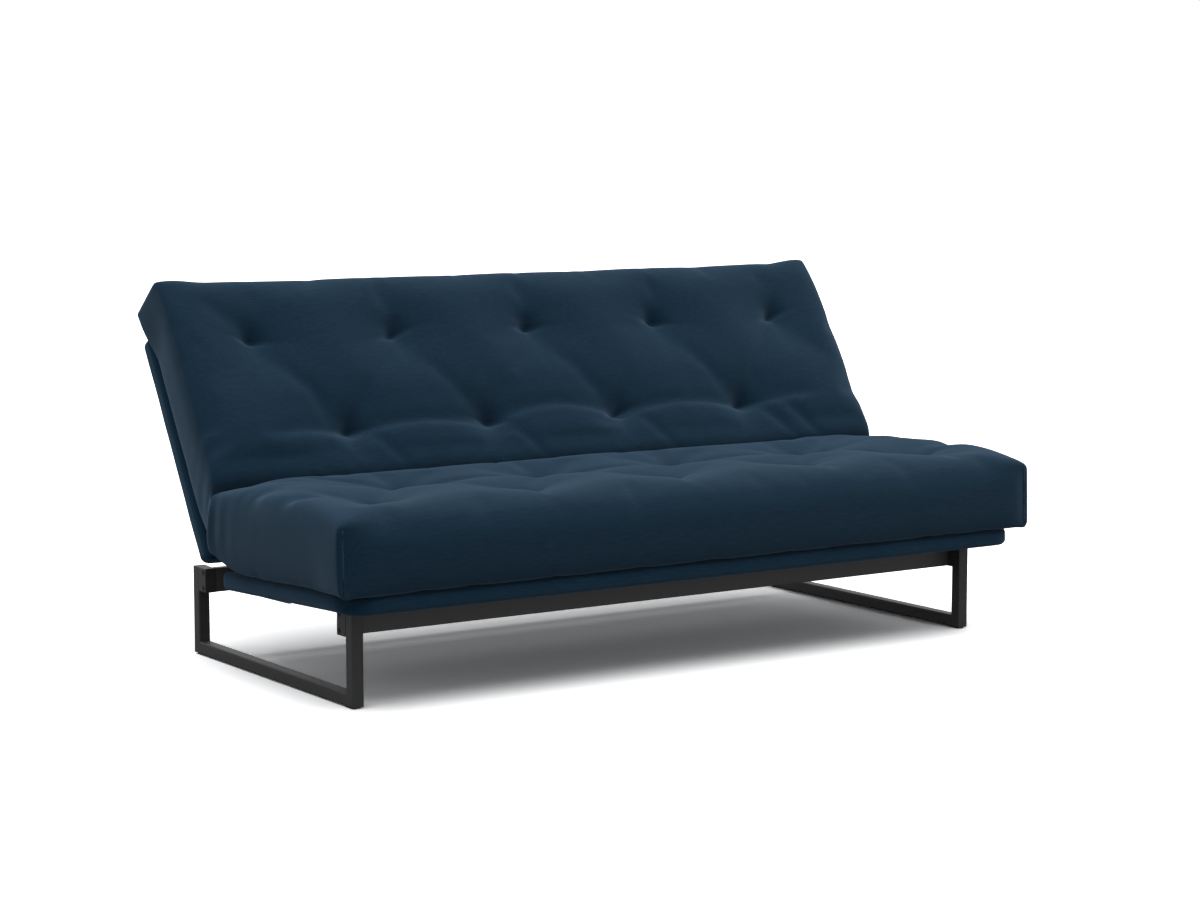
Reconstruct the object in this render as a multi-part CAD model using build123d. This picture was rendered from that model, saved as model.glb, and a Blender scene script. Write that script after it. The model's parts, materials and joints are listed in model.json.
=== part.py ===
from build123d import *
import math
import os

# Futon sofa bed: two sled legs, two rails, two upholstered decks that fold about a common hinge
# line, and a tufted mattress that lies over both. Millimetres, +Z up, the front towards -Y.

# Base
leg_inset = 64.0
leg_depth = 810.0
leg_tube = 30.0
leg_wall = 2.0
leg_radius = 3.0
lug_depth = 39.0
rail_top = 220.0
rail_height = 60.0
rail_thick = 22.0
rail_wall = 2.0
plug_length = 25.0
bolt_shank = 8.0
bolt_head = 15.0
bolt_socket = 5.0
bolt_inset = 10.5
bolt_reach = 20.0
glide_height = 3.0
glide_length = 45.0
glide_width = 24.0

# Decks, the same for seat and back
deck_depth = 580.0
deck_thick = 42.0
deck_corner = 20.0
deck_edge = 12.0
pad_top = 5.0
pad_side = 5.0
pad_under = 4.0
pad_return = 60.0
hinge_offset = 57.0
hinge_height = 24.0
dust_thick = 1.0
dust_margin = 16.0
frame_width = 30.0
frame_height = 18.0
frame_wall = 1.5
slat_count = 12
slat_width = 53.0
slat_thick = 8.0
slat_camber = 3.0
slat_margin = 216.0
holder_wall = 3.5
holder_length = 26.0
strip_thick = 3.0
strip_width = 40.0
strip_inset = 232.0
strip_ends = (325.0, 545.0)
rest_pad_height = 3.0
rest_pad_length = 60.0
rest_pad_width = 18.0
rest_pad_crown = 30.0

# Fold
seat_tilt = 2.7
back_angle = 58.7
hinge_share = 0.631
pivot_height = 195.0
bracket_reach = 39.0
arm_drop = 17.0
mech_inset = 49.0
plate_thick = 5.0
arm_thick = 6.0
arm_half_width = 12.0
plate_gap = 1.0
eye_radius = 14.0
flange_thick = 4.0
flange_width = 36.0
flange_ends = (60.0, 180.0)
pin_radius = 5.0
pin_head = 9.0
pin_head_thick = 4.0
bush_wall = 2.0
bush_flange = 0.7
bush_flange_wall = 4.0
washer_thick = 0.7
sync_radius = 8.0
sync_wall = 1.5
sync_share = 0.45
screw_radius = 3.0
screw_head = 5.5
screw_head_thick = 3.0
screw_depth = 16.0
fit = 0.05
seat_gap = 0.3

# Mattress
mattress_length = 2000.0
mattress_overhang = 25.0
mattress_lip = 63.0
seam_height = 147.0
seat_crown = 192.0
back_crown = 172.0
mattress_steps = ((0.0, 0.79, 12.0), (65.0, 0.92, 4.0), (200.0, 0.985, 1.0), (550.0, 1.0, 0.0))
face_bulge = 7.0
seat_share_angle = 71.0
fold_top = 178.0
fold_bottom = 125.0
fold_roll = 85.0
under_start = 175.0
tuft_radius = 80.0
tuft_point = 4.0
tuft_depth = 40.0
tuft_rise = 1.5
tuft_shares = (0.397, 0.771)
tuft_row_count = (4, 5)
core_inset = 70.0
core_start = 215.0
core_lip = 60.0
core_heights = (30.0, 105.0)


def turn(y, z, degrees):
    """Turn a point in the YZ plane about the X axis."""
    a = math.radians(degrees)
    return (y * math.cos(a) - z * math.sin(a), y * math.sin(a) + z * math.cos(a))


# Places that several pieces share
deck_length = mattress_length - 2 * mattress_overhang
slat_pitch = (deck_length - 2 * slat_margin) / (slat_count - 1)
deck_top = deck_thick - hinge_height
deck_under = -hinge_height
dust_under = deck_under - dust_thick
strip_under = dust_under - strip_thick
deck_start = hinge_offset
deck_end = hinge_offset + deck_depth
deck_mid = (deck_start + deck_end) / 2
cavity_low = deck_under + pad_under
cavity_high = deck_top - pad_top
frame_low = cavity_low + seat_gap
frame_high = frame_low + frame_height
frame_start = deck_start + pad_side + seat_gap
frame_end = deck_end - pad_side - seat_gap
frame_x = deck_length / 2 - pad_side - seat_gap
leg_outer = deck_length / 2 - leg_inset
leg_inner = leg_outer - leg_tube
mech_x = leg_inner - mech_inset
strip_x = mech_x - strip_inset
rail_front_y = leg_tube + lug_depth - rail_thick / 2
rail_rear_y = leg_depth - rail_front_y
rail_low = rail_top - rail_height
mattress_half = deck_end + mattress_lip
tuft_pitch = mattress_length / max(tuft_row_count)
core_x = mattress_length / 2 - core_inset
core_ends = (core_start, mattress_half - core_lip)

# The fold: hinge line at rest and flat, arm pivot on the base, and the reach of the arm pivot on
# the back that puts it at the same distance from the base pivot at rest and flat
pad_centre_z = rail_top + rest_pad_height - rest_pad_crown
lift = rest_pad_crown + seat_gap - strip_under
step_y, step_z = turn(leg_depth * hinge_share, lift, -seat_tilt)
hinge_y = rail_front_y + step_y
hinge_z = pad_centre_z + step_z
flat_y = leg_depth / 2
flat_z = pad_centre_z + lift
pivot_y = rail_rear_y - bracket_reach
lug_v = dust_under - arm_drop
lug_dy, lug_dz = turn(0, lug_v, back_angle)
reach_y, reach_z = turn(1, 0, back_angle)
rest_y = hinge_y + lug_dy - pivot_y
rest_z = hinge_z + lug_dz - pivot_height
open_y = flat_y - pivot_y
open_z = flat_z + lug_v - pivot_height
arm_reach = (math.hypot(rest_y, rest_z)**2 - math.hypot(open_y, open_z)**2) / 2
arm_reach /= open_y - rest_y * reach_y - rest_z * reach_z
lug_rest = (pivot_y + rest_y + arm_reach * reach_y, pivot_height + rest_z + arm_reach * reach_z)
lug_flat = (flat_y + arm_reach, flat_z + lug_v)
arm_length = math.dist(lug_flat, (pivot_y, pivot_height))
arm_angle = math.degrees(math.atan2(lug_rest[1] - pivot_height, lug_rest[0] - pivot_y))
arm_angle_flat = math.degrees(math.atan2(lug_flat[1] - pivot_height, lug_flat[0] - pivot_y))

# Plates side by side along X, from the base bracket outwards
bracket_x = (mech_x, mech_x + plate_thick)
arm_x = (bracket_x[1] + plate_gap, bracket_x[1] + plate_gap + arm_thick)
back_plate_x = (arm_x[1] + plate_gap, arm_x[1] + plate_gap + plate_thick)
seat_plate_x = (back_plate_x[1] + plate_gap, back_plate_x[1] + plate_gap + plate_thick)
bearer_x = seat_plate_x[1] + flange_width / 2
bush_radius = pin_radius + fit + bush_wall

seat_place = Pos(0, hinge_y, hinge_z) * Rot(-seat_tilt, 0, 0) * Rot(0, 0, 180)
back_place = Pos(0, hinge_y, hinge_z) * Rot(back_angle, 0, 0)
side_plane = Plane(origin=(0, 0, 0), x_dir=(0, 1, 0), z_dir=(1, 0, 0))


def block(x, y, z):
    """Box between two limits on each axis."""
    size = [b - a for a, b in (x, y, z)]
    return Pos((x[0] + x[1]) / 2, (y[0] + y[1]) / 2, (z[0] + z[1]) / 2) * Box(*size)


def tube_block(x, y, z, wall):
    """Closed rectangular tube between two limits on each axis."""
    inner = [(a + wall, b - wall) for a, b in (x, y, z)]
    return block(x, y, z) - block(*inner)


def rod(x, y, z, radius):
    """Cylinder along X between two limits."""
    return Pos((x[0] + x[1]) / 2, y, z) * Rot(0, 90, 0) * Cylinder(radius, x[1] - x[0])


def post(x, y, z, radius):
    """Cylinder along Z between two limits."""
    return Pos(x, y, (z[0] + z[1]) / 2) * Cylinder(radius, z[1] - z[0])


def plate(sketch, x):
    """Flat plate: an outline in the YZ plane, given thickness along X."""
    return extrude(side_plane.offset(x[0]) * sketch, x[1] - x[0])


def link_outline(a, b, radius_a, radius_b):
    """Outline of a flat link with a round eye at each end."""
    eyes = Pos(*a) * Circle(radius_a) + Pos(*b) * Circle(radius_b)
    return make_hull(eyes.edges())


def both_sides(make):
    """The same piece on both sides, as one group."""
    piece = make()
    return Compound(children=[piece, mirror(piece, Plane.YZ)])


def leg_frame():
    """Sled leg at +X: bent square tube with a bolting lug at the top of each upright."""
    half = leg_tube / 2
    path = Polyline(
        (leg_outer - half, half, rail_top),
        (leg_outer - half, half, glide_height + half),
        (leg_outer - half, leg_depth - half, glide_height + half),
        (leg_outer - half, leg_depth - half, rail_top),
    )
    start = Plane(origin=path @ 0, x_dir=(1, 0, 0), z_dir=path % 0)
    inside = leg_tube - 2 * leg_wall
    outer = sweep(start * RectangleRounded(leg_tube, leg_tube, leg_radius), path,
                  transition=Transition.RIGHT)
    bore = sweep(start * Rectangle(inside, inside), path, transition=Transition.RIGHT)
    bore -= block((leg_inner, leg_outer), (0, leg_depth), (rail_top - leg_wall, rail_top))
    frame = outer - bore
    for side in (0, 1):
        ends = (leg_tube, leg_tube + lug_depth)
        ends = ends if side == 0 else (leg_depth - ends[1], leg_depth - ends[0])
        lug = block((leg_inner, leg_outer), ends, (rail_low, rail_top))
        lug = fillet(lug.edges().filter_by(Axis.Y), leg_radius)
        frame += lug
    for y, z in bolt_places():
        frame -= rod((leg_inner, leg_outer), y, z, bolt_shank / 2 + fit)
        frame -= bolt_cone(y, z, fit)
    return frame.solid()


def bolt_places():
    """Centres of the rail bolts in the YZ plane."""
    return [(y, z) for y in (rail_front_y, rail_rear_y)
            for z in (rail_low + bolt_inset, rail_top - bolt_inset)]


def bolt_cone(y, z, gap):
    """Countersunk head of one rail bolt at +X."""
    height = (bolt_head - bolt_shank) / 2
    cone = Cone(bolt_shank / 2 + gap, bolt_head / 2 + gap, height)
    return Pos(leg_outer - height / 2, y, z) * Rot(0, 90, 0) * cone


def rail_bolts():
    """Countersunk socket bolts that hold the rails to the legs."""
    bolts = []
    for y, z in bolt_places():
        bolt = rod((leg_inner - bolt_reach, leg_outer), y, z, bolt_shank / 2) + bolt_cone(y, z, 0)
        key = Pos(leg_outer - 3.5, y, z) * Rot(0, 90, 0)
        bolt -= extrude(key * RegularPolygon(bolt_socket / 2, 6, major_radius=False), 4)
        bolts += [bolt, mirror(bolt, Plane.YZ)]
    return Compound(children=bolts)


def rail(y):
    """Rectangular tube rail, open at both ends."""
    ends = (-leg_inner, leg_inner)
    outline = RectangleRounded(rail_thick, rail_height, leg_radius)
    outline -= Rectangle(rail_thick - 2 * rail_wall, rail_height - 2 * rail_wall)
    plane = Plane(origin=(ends[0], y, rail_top - rail_height / 2), x_dir=(0, 1, 0), z_dir=(1, 0, 0))
    return extrude(plane * outline, ends[1] - ends[0])


def rear_rail():
    """Rear rail with the holes of the bracket screws."""
    bar = rail(rail_rear_y)
    for z in bracket_screw_heights():
        hole = bracket_screw(z, fit, 0)
        bar -= [hole, mirror(hole, Plane.YZ)]
    return bar


def rail_end_plugs():
    """Threaded blocks in the rail ends that take the bolts."""
    plugs = []
    for y in (rail_front_y, rail_rear_y):
        room = rail_thick / 2 - rail_wall - fit
        low = rail_low + rail_wall + fit
        plug = block((leg_inner - plug_length, leg_inner), (y - room, y + room),
                     (low, 2 * rail_top - rail_height - low))
        for z in (rail_low + bolt_inset, rail_top - bolt_inset):
            plug -= rod((leg_inner - plug_length, leg_inner), y, z, bolt_shank / 2 + fit)
        plugs += [plug, mirror(plug, Plane.YZ)]
    return Compound(children=plugs)


def floor_glides():
    """Thin pads under both ends of each runner."""
    x = leg_outer - leg_tube / 2
    glides = []
    for y in (glide_length / 2 + leg_radius, leg_depth - glide_length / 2 - leg_radius):
        pad = extrude(Pos(x, y) * SlotOverall(glide_length, glide_width, rotation=90), glide_height)
        glides += [pad, mirror(pad, Plane.YZ)]
    return Compound(children=glides)


def rest_pads(y):
    """Crowned pads on a rail, on which the runner strips of a deck slide or rest."""
    low = rest_pad_height - (rest_pad_crown - math.sqrt(rest_pad_crown**2 - rest_pad_width**2 / 4))
    half = rest_pad_width / 2
    with BuildSketch(Plane(origin=(strip_x - rest_pad_length / 2, y, rail_top),
                           x_dir=(0, 1, 0), z_dir=(1, 0, 0))) as section:
        with BuildLine():
            Polyline((-half, low), (-half, 0), (half, 0), (half, low))
            ThreePointArc((half, low), (0, rest_pad_height), (-half, low))
        make_face()
    return both_sides(lambda: extrude(section.sketch, rest_pad_length))


def pivot_bracket():
    """Bracket at +X on the front face of the rear rail that carries a swing arm."""
    face = rail_rear_y - rail_thick / 2
    middle = rail_top - rail_height / 2
    foot = Pos(face - eye_radius / 2, middle) * Rectangle(eye_radius, rail_height - 8)
    outline = make_hull((Pos(pivot_y, pivot_height) * Circle(eye_radius) + foot).edges())
    bracket = plate(outline, bracket_x)
    bracket += block((bracket_x[0] - flange_width, bracket_x[1]), (face - flange_thick, face),
                     (middle - rail_height / 2 + 4, middle + rail_height / 2 - 4))
    bracket -= rod(bracket_x, pivot_y, pivot_height, pin_radius + fit)
    for z in bracket_screw_heights():
        bracket -= bracket_screw(z, fit, 0)
    return bracket


def bracket_screw_heights():
    """Heights of the two screws of a pivot bracket."""
    middle = rail_top - rail_height / 2
    return (middle - rail_height / 4, middle + rail_height / 4)


def bracket_screw(z, gap, head):
    """Shank, and head if wanted, of one bracket screw at +X."""
    face = rail_rear_y - rail_thick / 2
    x = bracket_x[0] - flange_width / 2
    long = flange_thick + rail_wall + 8
    shank = Pos(x, face - flange_thick + long / 2, z) * Rot(90, 0, 0)
    screw = shank * Cylinder(screw_radius + gap, long)
    if head:
        cap = Pos(x, face - flange_thick - head / 2, z) * Rot(90, 0, 0)
        screw += cap * Cylinder(screw_head, head)
    return screw


def bracket_screws():
    """Screws that hold the pivot brackets to the rear rail."""
    screws = []
    for z in bracket_screw_heights():
        screw = bracket_screw(z, 0, screw_head_thick)
        screws += [screw, mirror(screw, Plane.YZ)]
    return Compound(children=screws)


def pivot_pin(y, z, x):
    """Riveted pin along X with a head on each side of the plates it joins."""
    pin = rod((x[0] - pin_head_thick, x[1] + pin_head_thick), y, z, pin_radius)
    pin += rod((x[0] - pin_head_thick, x[0]), y, z, pin_head)
    pin += rod((x[1], x[1] + pin_head_thick), y, z, pin_head)
    return pin


def swing_arm():
    """Flat arm at +X between the base pivot and the lug on the back."""
    arm = plate(link_outline((pivot_y, pivot_height), lug_rest, arm_half_width, arm_half_width), arm_x)
    for y, z in ((pivot_y, pivot_height), lug_rest):
        arm -= rod(arm_x, y, z, bush_radius + fit)
    return arm


def swing_arm_bushes():
    """Flanged bushes in the eyes of the swing arms."""
    def bush(y, z, inwards):
        flange_x = (arm_x[0] - bush_flange, arm_x[0])
        if not inwards:
            flange_x = (arm_x[1], arm_x[1] + bush_flange)
        body = rod(arm_x, y, z, bush_radius)
        body += rod(flange_x, y, z, pin_radius + bush_flange_wall)
        return body - rod((arm_x[0] - 2, arm_x[1] + 2), y, z, pin_radius + fit)
    low = bush(pivot_y, pivot_height, True)
    high = bush(*lug_rest, False)
    return Compound(children=[low, high, mirror(low, Plane.YZ), mirror(high, Plane.YZ)])


def sync_tube():
    """Round tube that joins the two swing arms so that both sides fold together."""
    y = pivot_y + (lug_rest[0] - pivot_y) * sync_share
    z = pivot_height + (lug_rest[1] - pivot_height) * sync_share
    ends = (-arm_x[0], arm_x[0])
    return rod(ends, y, z, sync_radius) - rod(ends, y, z, sync_radius - sync_wall)


def hinge_arm(x, lug):
    """Hinge plate at +X in deck coordinates: eye on the hinge line, flange under the deck."""
    heel = (eye_radius * 2, dust_under - arm_drop)
    toe = (arm_reach, lug_v)
    neck = link_outline((0, 0), heel, eye_radius, eye_radius)
    leg = link_outline(heel, toe, eye_radius, arm_drop - seat_gap)
    middle = (flange_ends[0] + flange_ends[1]) / 2
    web = Pos(middle, dust_under - arm_drop / 2) * Rectangle(flange_ends[1] - flange_ends[0], arm_drop)
    arm = plate(neck + leg + web, x)
    arm += block((x[0], x[1] + flange_width), flange_ends, (dust_under - flange_thick, dust_under))
    arm -= rod(x, 0, 0, pin_radius + fit)
    if lug:
        arm -= rod(x, *toe, pin_radius + fit)
    for u in arm_screw_places():
        arm -= post(x[1] + flange_width / 2, u, (dust_under - flange_thick, dust_under), screw_radius + fit)
    return arm


def arm_screw_places():
    """Distances from the hinge line of the screws of a hinge arm."""
    return [flange_ends[0] + (flange_ends[1] - flange_ends[0]) * k / 6 for k in (1, 3, 5)]


def arm_screws(x):
    """Screws at +X and -X that hold the hinge arms to the bearers of a deck."""
    screws = []
    low = dust_under - flange_thick
    for u in arm_screw_places():
        for side in (-1, 1):
            place = side * (x[1] + flange_width / 2)
            screw = post(place, u, (low, frame_low + frame_wall + screw_depth / 2), screw_radius)
            screws.append(screw + post(place, u, (low - screw_head_thick, low), screw_head))
    return Compound(children=screws)


def screw_holes(piece, x):
    """Take the holes of the hinge arm screws out of a piece of the deck."""
    for u in arm_screw_places():
        for side in (-1, 1):
            span = (dust_under - 1, frame_low + frame_wall + screw_depth / 2 + 1)
            piece -= post(side * (x[1] + flange_width / 2), u, span, screw_radius + fit)
    return piece


def deck_frame(x):
    """Welded tube frame: a ring with bent corners and two bearers for the hinge arms."""
    across = (frame_start + frame_width, frame_end - frame_width)
    frame = ring(0) - ring(frame_wall)
    bearer = x[1] + flange_width / 2
    ends = (bearer - frame_width / 2, bearer + frame_width / 2)
    tube = tube_block(ends, across, (frame_low, frame_high), frame_wall)
    frame += [tube, mirror(tube, Plane.YZ)]
    return screw_holes(frame, x)


def ring(wall):
    """Ring of rectangular section round the deck, or the bore of that ring."""
    length = 2 * (frame_x - wall)
    depth = frame_end - frame_start - 2 * wall
    width = frame_width - 2 * wall
    corner = deck_corner - pad_side - seat_gap - wall
    outline = RectangleRounded(length, depth, corner) - Rectangle(length - 2 * width, depth - 2 * width)
    return extrude(Pos(0, deck_mid, frame_low + wall) * outline, frame_height - 2 * wall)


def slat_centres():
    """Places of the slats along the deck."""
    return [(k - (slat_count - 1) / 2) * slat_pitch for k in range(slat_count)]


def slats():
    """Bent slats across the deck, bowed upwards."""
    start = frame_start + holder_wall + seat_gap
    end = frame_end - holder_wall - seat_gap
    low = frame_high + holder_wall / 2 + seat_gap
    middle = (start + end) / 2
    with BuildSketch(side_plane) as section:
        with BuildLine():
            ThreePointArc((start, low), (middle, low + slat_camber), (end, low))
            Line((end, low), (end, low + slat_thick))
            ThreePointArc((end, low + slat_thick), (middle, low + slat_thick + slat_camber),
                          (start, low + slat_thick))
            Line((start, low + slat_thick), (start, low))
        make_face()
    bar = extrude(section.sketch, slat_width)
    return Compound(children=[Pos(x - slat_width / 2, 0, 0) * bar for x in slat_centres()])


def slat_holders():
    """Plastic holders on the long tubes, one for each slat end."""
    low = frame_high
    high = low + slat_thick + holder_wall + 2 * seat_gap + slat_camber / 4
    half = slat_width / 2 + seat_gap
    start = frame_start
    cup = block((-half - holder_wall, half + holder_wall), (start, start + holder_length), (low, high))
    cup -= block((-half, half), (start + holder_wall, start + holder_length),
                 (low + holder_wall / 2, high - holder_wall / 2))
    far = Pos(0, 2 * deck_mid, 0) * Rot(0, 0, 180) * cup
    cups = [Pos(x, 0, 0) * piece for x in slat_centres() for piece in (cup, far)]
    return Compound(children=cups)


def deck_cover(x):
    """Padded cover: closed over the slats and the sides, turned in under the frame."""
    outline = Pos(0, deck_mid) * RectangleRounded(deck_length, deck_depth, deck_corner)
    cover = extrude(Plane.XY.offset(deck_under) * outline, deck_thick)
    rims = cover.edges().group_by(Axis.Z)
    cover = fillet(rims[0] + rims[-1], deck_edge)
    room = RectangleRounded(deck_length - 2 * pad_side, deck_depth - 2 * pad_side, deck_corner - pad_side)
    cover -= extrude(Pos(0, deck_mid, cavity_low) * room, cavity_high - cavity_low)
    window = Rectangle(deck_length - 2 * pad_return, deck_depth - 2 * pad_return)
    cover -= extrude(Pos(0, deck_mid, deck_under) * window, pad_under)
    return screw_holes(cover, x)


def dust_cover(x):
    """Thin cloth panel that closes the underside of a deck."""
    half = deck_length / 2 - dust_margin
    panel = block((-half, half), (deck_start + dust_margin, deck_end - dust_margin),
                  (dust_under, deck_under))
    return screw_holes(panel, x)


def runner_strips():
    """Hard strips under a deck that run on the rest pads."""
    def strip():
        length = strip_ends[1] - strip_ends[0]
        outline = Pos(strip_x, sum(strip_ends) / 2) * SlotOverall(length, strip_width, rotation=90)
        return extrude(Plane.XY.offset(strip_under) * outline, strip_thick)
    return both_sides(strip)


def mattress_section(x, crown, share, inset, lean):
    """Closed outline of a mattress half at one place along its length, in deck coordinates."""
    low = deck_top + seat_gap
    front = mattress_half - inset
    dir_u, dir_v = math.cos(math.radians(lean)), math.sin(math.radians(lean))

    def on_fold(distance):
        return (dir_u * distance + dir_v * seat_gap, dir_v * distance - dir_u * seat_gap)

    seam = low + seam_height * (share + 1) / 2
    top = low + crown * share
    fold_high = on_fold(fold_top * share)
    fold_low = on_fold(fold_bottom * share)
    roll = (fold_high[0] + fold_roll, top - 6)
    mid = ((roll[0] + front) / 2, top)
    under = (fold_low[0] + (under_start - fold_low[0]) * 0.34,
             low + (fold_low[1] - low) * 0.42)
    with BuildSketch(side_plane.offset(x)) as section:
        with BuildLine():
            Line((under_start, low), (front - 4, low))
            ThreePointArc((front - 4, low), (front + face_bulge, (low + seam) / 2), (front, seam))
            ThreePointArc((front, seam), mid, roll)
            TangentArc(fold_high, roll, tangent=(dir_u, dir_v))
            Line(fold_high, fold_low)
            ThreePointArc(fold_low, under, (under_start, low))
        make_face()
    return section.sketch


def mattress(crown, lean, core):
    """Half of the mattress: crowned, drawn in at the ends, with sewn tufts and room for the core."""
    end = mattress_length / 2
    left = [(step - end, share, inset) for step, share, inset in mattress_steps]
    right = [(-x, share, inset) for x, share, inset in reversed(left)]
    stations = left + [(0, 1.0, 0)] + right
    body = loft([mattress_section(x, crown, share, inset, lean) for x, share, inset in stations])
    rim = tuft_point + (tuft_radius - tuft_point) * tuft_rise
    pit = Cone(tuft_point, rim, tuft_depth * tuft_rise, align=(Align.CENTER, Align.CENTER, Align.MIN))
    pits = []
    for share, count in zip(tuft_shares, tuft_row_count):
        u = mattress_half * share
        for k in range(count):
            x = (k - (count - 1) / 2) * tuft_pitch
            pits.append(Pos(x, u, top_height(body, x, u) - tuft_depth) * pit)
    return (body - pits - core).solid()


def top_height(body, x, u):
    """Height of the upper face of a mattress half above one point of its deck."""
    hits = body.find_intersection_points(Axis((x, u, 0), (0, 0, 1)))
    return max(point.Z for point, _ in hits)


def spring_core(gap):
    """Block of springs and foam inside a mattress half."""
    low = deck_top + core_heights[0] - gap
    high = deck_top + core_heights[1] + gap
    return block((-core_x - gap, core_x + gap), (core_ends[0] - gap, core_ends[1] + gap), (low, high))


def hinge_pins():
    """Pins on the hinge line, riveted in the plates of the back."""
    return both_sides(lambda: pivot_pin(0, 0, (back_plate_x[0], seat_plate_x[1] + seat_gap)))


def hinge_washers():
    """Spacers between the hinge plates of seat and back."""
    gap = (back_plate_x[1] + seat_gap / 2, back_plate_x[1] + seat_gap / 2 + washer_thick)
    ring = rod(gap, 0, 0, eye_radius - 2) - rod(gap, 0, 0, pin_radius + fit)
    return both_sides(lambda: ring)


def deck(name, place, x, crown, lean, lug):
    """All pieces of one deck with its half of the mattress, put in place."""
    arm = hinge_arm(x, lug)
    core = spring_core(seat_gap)
    pieces = {
        f"{name}_deck_frame": deck_frame(x),
        f"{name}_slats": slats(),
        f"{name}_slat_holders": slat_holders(),
        f"{name}_deck_cover": deck_cover(x),
        f"{name}_dust_cover": dust_cover(x),
        f"{name}_runner_strips": runner_strips(),
        f"{name}_arm_screws": arm_screws(x),
        f"{name}_mattress": mattress(crown, lean, core),
        f"{name}_spring_core": spring_core(0),
    }
    placed = {node: place * piece for node, piece in pieces.items()}
    for piece in (place * arm, place * mirror(arm, Plane.YZ)):
        side = "right" if piece.center().X > 0 else "left"
        placed[f"{side}_{name}_hinge_arm"] = piece
    return placed


def build():
    """Every piece in leg coordinates, by node name."""
    leg = leg_frame()
    bracket = pivot_bracket()
    arm = swing_arm()
    base_pin = (bracket_x[0], arm_x[1] + seat_gap)
    lug_pin = (arm_x[0] - seat_gap, back_plate_x[1])
    parts = {
        "right_leg_frame": leg,
        "left_leg_frame": mirror(leg, Plane.YZ),
        "front_rail": rail(rail_front_y),
        "rear_rail": rear_rail(),
        "rail_end_plugs": rail_end_plugs(),
        "rail_bolts": rail_bolts(),
        "floor_glides": floor_glides(),
        "front_rest_pads": rest_pads(rail_front_y),
        "rear_rest_pads": rest_pads(rail_rear_y),
        "right_pivot_bracket": bracket,
        "left_pivot_bracket": mirror(bracket, Plane.YZ),
        "bracket_screws": bracket_screws(),
        "base_pivot_pins": both_sides(lambda: pivot_pin(pivot_y, pivot_height, base_pin)),
        "right_swing_arm": arm,
        "left_swing_arm": mirror(arm, Plane.YZ),
        "swing_arm_bushes": swing_arm_bushes(),
        "sync_tube": sync_tube(),
        "lug_pivot_pins": both_sides(lambda: pivot_pin(*lug_rest, lug_pin)),
        "hinge_pins": back_place * hinge_pins(),
        "hinge_washers": back_place * hinge_washers(),
    }
    lean = 180 - back_angle - seat_tilt
    parts |= deck("seat", seat_place, seat_plate_x, seat_crown, seat_share_angle, False)
    parts |= deck("back", back_place, back_plate_x, back_crown, lean - seat_share_angle, True)
    return parts


os.makedirs("parts", exist_ok=True)
parts = build()
boxes = [shape.bounding_box() for shape in parts.values()]
front = min(box.min.Y for box in boxes)
rear = max(box.max.Y for box in boxes)
centre_y = (front + rear) / 2
for node, shape in parts.items():
    export_step(shape.moved(Pos(0, -centre_y, 0)), f"parts/{node}.step")

swing = arm_angle_flat - arm_angle
print("depth", rear - front, "height", max(box.max.Z for box in boxes), "centre", centre_y)
print("swing pivot", pivot_y - centre_y, pivot_height, "range", swing)
print("lug pivot", lug_rest[0] - centre_y, lug_rest[1], "ratio", -(back_angle + swing) / swing)
print("hinge line", hinge_y - centre_y, hinge_z, "ratio", (back_angle + seat_tilt) / swing)
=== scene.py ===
"""Futon sofa bed, dressed: folding tufted mattress, padded decks, steel frame and studio."""

from __future__ import annotations

import json
import logging
import math
from dataclasses import dataclass, field
from enum import Enum, IntEnum
from typing import Any

import bmesh
import bpy
from mathutils import Matrix, Vector, noise

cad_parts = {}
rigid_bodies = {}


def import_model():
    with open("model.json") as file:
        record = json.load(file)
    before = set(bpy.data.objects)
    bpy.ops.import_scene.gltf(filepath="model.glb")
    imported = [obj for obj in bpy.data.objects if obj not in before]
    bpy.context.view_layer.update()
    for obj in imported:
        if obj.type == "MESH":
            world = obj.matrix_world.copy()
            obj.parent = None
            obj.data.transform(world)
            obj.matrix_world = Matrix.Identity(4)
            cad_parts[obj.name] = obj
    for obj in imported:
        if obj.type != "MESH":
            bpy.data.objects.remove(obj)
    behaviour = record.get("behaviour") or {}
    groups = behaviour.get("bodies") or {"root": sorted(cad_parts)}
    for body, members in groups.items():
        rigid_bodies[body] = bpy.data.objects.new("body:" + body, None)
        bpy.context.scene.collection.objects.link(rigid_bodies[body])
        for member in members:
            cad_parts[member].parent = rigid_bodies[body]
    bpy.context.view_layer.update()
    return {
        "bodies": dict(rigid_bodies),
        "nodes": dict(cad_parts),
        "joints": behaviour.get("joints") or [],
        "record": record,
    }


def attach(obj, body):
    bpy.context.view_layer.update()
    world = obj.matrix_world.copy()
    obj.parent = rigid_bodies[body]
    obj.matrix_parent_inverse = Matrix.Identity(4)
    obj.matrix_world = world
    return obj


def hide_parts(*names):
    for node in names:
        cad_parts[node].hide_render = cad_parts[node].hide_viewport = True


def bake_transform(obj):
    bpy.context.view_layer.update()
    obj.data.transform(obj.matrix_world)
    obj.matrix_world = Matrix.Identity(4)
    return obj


log = logging.getLogger("futon")

MM = 0.001
TOUCH = 1e-6

Colour = tuple[float, float, float, float]
Point2 = tuple[float, float]
Point3 = tuple[float, float, float]


def linear(code: str) -> Colour:
    """Turn an sRGB hex colour into linear light.

    Args:
        code: Six hex digits after a hash sign.

    Returns:
        Linear red, green and blue with an alpha of 1.
    """
    parts = [int(code[k:k + 2], 16) / 255 for k in (1, 3, 5)]
    light = [c / 12.92 if c <= 0.04045 else ((c + 0.055) / 1.055) ** 2.4 for c in parts]
    return (light[0], light[1], light[2], 1.0)


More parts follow.
